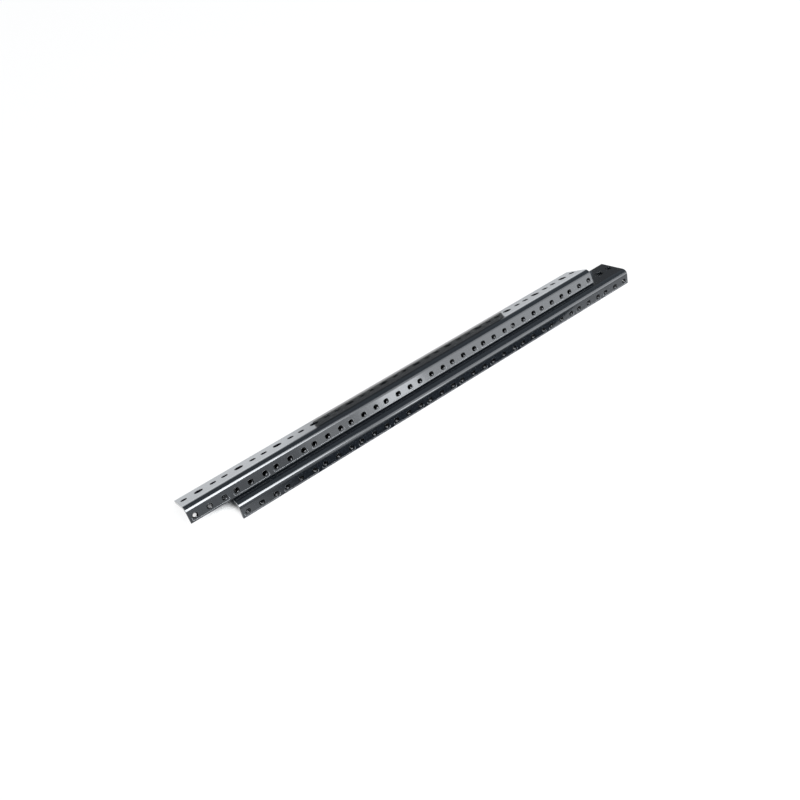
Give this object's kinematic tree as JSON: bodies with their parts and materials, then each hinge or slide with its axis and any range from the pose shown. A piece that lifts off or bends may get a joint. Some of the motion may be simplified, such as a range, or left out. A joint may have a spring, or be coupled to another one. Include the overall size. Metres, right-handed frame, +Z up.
{
  "type": "rack rail pair",
  "caption": "Matching folded steel rack rails with tapped holes along the narrow flange and round holes along the wide flange, one rail leaning over the other.",
  "frame": {"origin": "on the floor, under the middle of the pair's box", "axes": "+X along the rails, +Y from the lower rail towards the back, +Z up"},
  "size_m": [0.5774, 0.0552, 0.0242],
  "materials": {
    "black_coat": "semi-gloss black powder coat",
    "unit_mark_print": "thin matt pale grey printed line"
  },
  "bodies": {
    "lower_rail": {"lower_rail": "black_coat"},
    "upper_rail": {"upper_rail": "black_coat"}
  },
  "joints": [
    {"name": "upper_rail_lift", "type": "slide", "parent": "lower_rail", "child": "upper_rail", "axis": [0, 0, 1], "range_m": [0, 0.1]}
  ]
}
